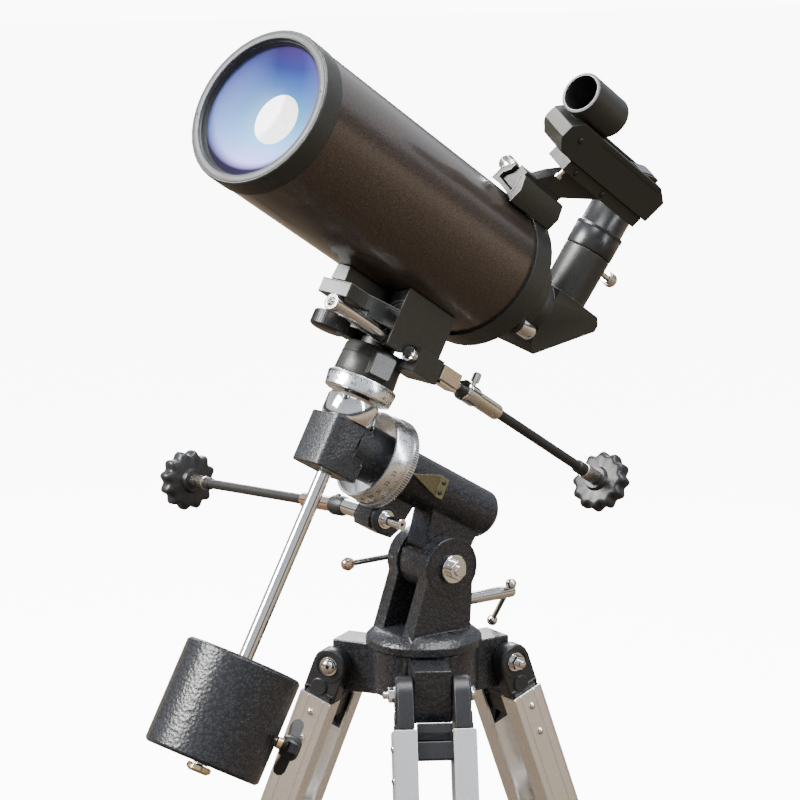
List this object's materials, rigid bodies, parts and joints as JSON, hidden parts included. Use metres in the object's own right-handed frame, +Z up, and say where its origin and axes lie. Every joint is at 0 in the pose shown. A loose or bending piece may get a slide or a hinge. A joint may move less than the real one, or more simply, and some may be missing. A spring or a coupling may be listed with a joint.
{
  "type": "maksutov telescope",
  "caption": "Short mirror-lens telescope tube with a red-dot finder and star diagonal, on a counterweighted equatorial head and a folding aluminium tripod.",
  "frame": {"origin": "centre of the overall box on the ground", "axes": "+Z up; the tube and polar axis point towards -X and up; +Y is the side of the right-ascension cable"},
  "size_m": [0.5442, 0.57, 1.0912],
  "materials": {
    "hammered_black": "hammered gloss",
    "ra_black": "hammered satin",
    "satin_black": "satin",
    "tube_paint": "gloss metallic charcoal",
    "eyepiece_black": "semi-gloss",
    "chrome": "polished",
    "lever_steel": "bright",
    "circle_silver": "satin, engraved scale",
    "shaft_black": "satin",
    "knob_black": "moulded",
    "brass_screw": "bright",
    "finder_plastic": "satin",
    "finder_dial_grey": "gloss",
    "lens_glass": "coated",
    "mirror_coat": "polished",
    "leg_plastic": "moulded",
    "leg_aluminium": "satin anodised",
    "foot_rubber": "matt"
  },
  "bodies": {
    "tripod": {"tripod_hub": "hammered_black"},
    "fork": {"fork_base": "hammered_black", "altitude_bolt": "chrome"},
    "altitude_clamp": {"altitude_lever": "lever_steel"},
    "latitude_drive": {"latitude_screw": "chrome"},
    "polar": {"polar_housing": "hammered_black"},
    "ra_drive": {"ra_worm": "chrome"},
    "ra_flex": {"ra_cable": "shaft_black", "ra_knob": "knob_black"},
    "ra_axis": {"ra_body": "ra_black", "dec_collar": "chrome", "counterweight_shaft": "chrome"},
    "ra_scale": {"ra_circle": "circle_silver"},
    "weight": {"counterweight": "hammered_black"},
    "weight_lock": {"counterweight_knob": "knob_black"},
    "shaft_end": {"shaft_end_screw": "brass_screw"},
    "dec_axis": {"dec_head": "satin_black", "saddle": "satin_black", "saddle_rod": "chrome"},
    "dec_scale": {"dec_circle": "circle_silver"},
    "dec_drive": {"dec_worm": "chrome", "dec_cable": "shaft_black", "dec_knob": "knob_black"},
    "saddle_lock": {"saddle_screw": "knob_black"},
    "tube_unit": {"dovetail_bar": "satin_black", "tube": "tube_paint", "front_cell": "satin_black", "corrector": "lens_glass", "rear_cell": "satin_black", "finder_shoe": "satin_black"},
    "focus_drive": {"focus_knob": "chrome"},
    "mirror_carriage": {"primary_mirror": "mirror_coat"},
    "diagonal": {"diagonal_body": "satin_black"},
    "eyepiece_unit": {"eyepiece": "eyepiece_black"},
    "diagonal_lock": {"diagonal_screw": "chrome"},
    "finder": {"finder_bracket": "finder_plastic", "finder_body": "finder_plastic"},
    "finder_lock": {"finder_screw": "chrome"},
    "finder_aim": {"finder_dial": "finder_dial_grey"},
    "leg_a": {"leg_a_yoke": "leg_plastic", "leg_a_rail_left": "leg_aluminium", "leg_a_rail_right": "leg_aluminium", "leg_a_clamp": "leg_plastic"},
    "leg_a_inner": {"leg_a_lower": "leg_aluminium", "leg_a_foot": "foot_rubber"},
    "leg_a_lock": {"leg_a_knob": "knob_black"},
    "leg_b": {"leg_b_yoke": "leg_plastic", "leg_b_rail_left": "leg_aluminium", "leg_b_rail_right": "leg_aluminium", "leg_b_clamp": "leg_plastic"},
    "leg_b_inner": {"leg_b_lower": "leg_aluminium", "leg_b_foot": "foot_rubber"},
    "leg_b_lock": {"leg_b_knob": "knob_black"},
    "leg_c": {"leg_c_yoke": "leg_plastic", "leg_c_rail_left": "leg_aluminium", "leg_c_rail_right": "leg_aluminium", "leg_c_clamp": "leg_plastic"},
    "leg_c_inner": {"leg_c_lower": "leg_aluminium", "leg_c_foot": "foot_rubber"},
    "leg_c_lock": {"leg_c_knob": "knob_black"}
  },
  "joints": [
    {"name": "azimuth_turn", "type": "hinge", "parent": "tripod", "child": "fork", "pos_m": [-0.05459, 0, 0.67012], "axis": [0, 0, 1], "continuous": true},
    {"name": "latitude_tilt", "type": "hinge", "parent": "fork", "child": "polar", "pos_m": [-0.04779, 0, 0.72612], "axis": [0, 1, 0], "range_deg": [-5, 25]},
    {"name": "altitude_lever_turn", "type": "hinge", "parent": "fork", "child": "altitude_clamp", "pos_m": [-0.04779, 0, 0.72612], "axis": [0, 1, 0], "range_deg": [-50, 15]},
    {"name": "latitude_screw_turn", "type": "hinge", "parent": "fork", "child": "latitude_drive", "pos_m": [-0.04779, 0, 0.69512], "axis": [1, 0, 0], "continuous": true},
    {"name": "ra_turn", "type": "hinge", "parent": "polar", "child": "ra_axis", "pos_m": [-0.12417, 0, 0.821], "axis": [-0.8682, 0, 0.4962], "range_deg": [-55, 70]},
    {"name": "ra_circle_turn", "type": "hinge", "parent": "ra_axis", "child": "ra_scale", "pos_m": [-0.12417, 0, 0.821], "axis": [-0.8682, 0, 0.4962], "continuous": true},
    {"name": "ra_worm_turn", "type": "hinge", "parent": "polar", "child": "ra_drive", "pos_m": [-0.09155, 0, 0.7632], "axis": [0, -1, 0], "continuous": true},
    {"name": "ra_cable_turn", "type": "hinge", "parent": "polar", "child": "ra_flex", "pos_m": [-0.09165, 0.0402, 0.76302], "axis": [-0.0452, 0.9959, -0.079], "continuous": true},
    {"name": "counterweight_slide", "type": "slide", "parent": "ra_axis", "child": "weight", "axis": [0.4958, 0.0391, 0.8675], "range_m": [0, 0.035]},
    {"name": "counterweight_knob_turn", "type": "hinge", "parent": "weight", "child": "weight_lock", "pos_m": [-0.22284, -0.00778, 0.64836], "axis": [0.7624, -0.4979, -0.4133], "continuous": true},
    {"name": "end_screw_turn", "type": "hinge", "parent": "ra_axis", "child": "shaft_end", "pos_m": [-0.24019, -0.00915, 0.618], "axis": [0.4958, 0.0391, 0.8675], "continuous": true},
    {"name": "dec_turn", "type": "hinge", "parent": "ra_axis", "child": "dec_axis", "pos_m": [-0.12417, 0, 0.821], "axis": [0.4958, 0.0391, 0.8675], "range_deg": [-90, 90]},
    {"name": "dec_circle_turn", "type": "hinge", "parent": "ra_axis", "child": "dec_scale", "pos_m": [-0.12417, 0, 0.821], "axis": [0.4958, 0.0391, 0.8675], "continuous": true},
    {"name": "dec_drive_turn", "type": "hinge", "parent": "dec_axis", "child": "dec_drive", "pos_m": [-0.08474, -0.02706, 0.87691], "axis": [-0.8441, -0.2132, 0.492], "continuous": true},
    {"name": "saddle_screw_turn", "type": "hinge", "parent": "dec_axis", "child": "saddle_lock", "pos_m": [-0.13458, -0.00602, 0.90012], "axis": [0.4958, 0.0391, 0.8675], "continuous": true},
    {"name": "dovetail_slide", "type": "slide", "parent": "dec_axis", "child": "tube_unit", "axis": [-0.8441, -0.2132, 0.492], "range_m": [-0.02, 0.015]},
    {"name": "focus_turn", "type": "hinge", "parent": "tube_unit", "child": "focus_drive", "pos_m": [0.02144, -0.00956, 0.88373], "axis": [-0.8441, -0.2132, 0.492], "range_deg": [-1800, 1800]},
    {"name": "primary_slide", "type": "slide", "parent": "tube_unit", "child": "mirror_carriage", "axis": [-0.8441, -0.2132, 0.492], "range_m": [-0.0037, 0.0037]},
    {"name": "diagonal_turn", "type": "hinge", "parent": "tube_unit", "child": "diagonal", "pos_m": [0.06154, 0.03371, 0.88998], "axis": [-0.8441, -0.2132, 0.492], "range_deg": [0, 120]},
    {"name": "eyepiece_slide", "type": "slide", "parent": "diagonal", "child": "eyepiece_unit", "axis": [0.5217, -0.1141, 0.8455], "range_m": [0, 0.02]},
    {"name": "diagonal_screw_turn", "type": "hinge", "parent": "diagonal", "child": "diagonal_lock", "pos_m": [0.10957, 0.03354, 0.91946], "axis": [-0.8441, -0.2132, 0.492], "continuous": true},
    {"name": "finder_slide", "type": "slide", "parent": "tube_unit", "child": "finder", "axis": [-0.8441, -0.2132, 0.492], "range_m": [0, 0.012]},
    {"name": "finder_screw_turn", "type": "hinge", "parent": "tube_unit", "child": "finder_lock", "pos_m": [0.01701, -0.01609, 0.98306], "axis": [-0.0711, -0.865, -0.4968], "continuous": true},
    {"name": "finder_dial_turn", "type": "hinge", "parent": "finder", "child": "finder_aim", "pos_m": [0.03835, -0.03807, 1.01827], "axis": [-0.0711, -0.865, -0.4968], "range_deg": [0, 270]},
    {"name": "leg_a_fold", "type": "hinge", "parent": "tripod", "child": "leg_a", "pos_m": [-0.0851, -0.05283, 0.65162], "axis": [0.866, -0.5, 0], "range_deg": [0, 18]},
    {"name": "leg_a_extend", "type": "slide", "parent": "leg_a", "child": "leg_a_inner", "axis": [-0.1792, -0.3104, -0.9336], "range_m": [0, 0.3]},
    {"name": "leg_a_knob_turn", "type": "hinge", "parent": "leg_a", "child": "leg_a_lock", "pos_m": [-0.1711, -0.2018, 0.2035], "axis": [-0.4668, -0.8085, 0.3584], "continuous": true},
    {"name": "leg_b_fold", "type": "hinge", "parent": "tripod", "child": "leg_b", "pos_m": [0.00641, 0, 0.65162], "axis": [0, 1, 0], "range_deg": [0, 18]},
    {"name": "leg_b_extend", "type": "slide", "parent": "leg_b", "child": "leg_b_inner", "axis": [0.3584, 0, -0.9336], "range_m": [0, 0.3]},
    {"name": "leg_b_knob_turn", "type": "hinge", "parent": "leg_b", "child": "leg_b_lock", "pos_m": [0.17842, 0, 0.2035], "axis": [0.9336, 0, 0.3584], "continuous": true},
    {"name": "leg_c_fold", "type": "hinge", "parent": "tripod", "child": "leg_c", "pos_m": [-0.0851, 0.05283, 0.65162], "axis": [-0.866, -0.5, 0], "range_deg": [0, 18]},
    {"name": "leg_c_extend", "type": "slide", "parent": "leg_c", "child": "leg_c_inner", "axis": [-0.1792, 0.3104, -0.9336], "range_m": [0, 0.3]},
    {"name": "leg_c_knob_turn", "type": "hinge", "parent": "leg_c", "child": "leg_c_lock", "pos_m": [-0.1711, 0.2018, 0.2035], "axis": [-0.4668, 0.8085, 0.3584], "continuous": true}
  ],
  "couplings": [
    {"joint": "ra_worm_turn", "follows": "ra_turn", "ratio": 60},
    {"joint": "ra_cable_turn", "follows": "ra_turn", "ratio": -60},
    {"joint": "dec_drive_turn", "follows": "dec_turn", "ratio": 60},
    {"joint": "focus_turn", "follows": "primary_slide", "rad_per_m": 8403}
  ]
}
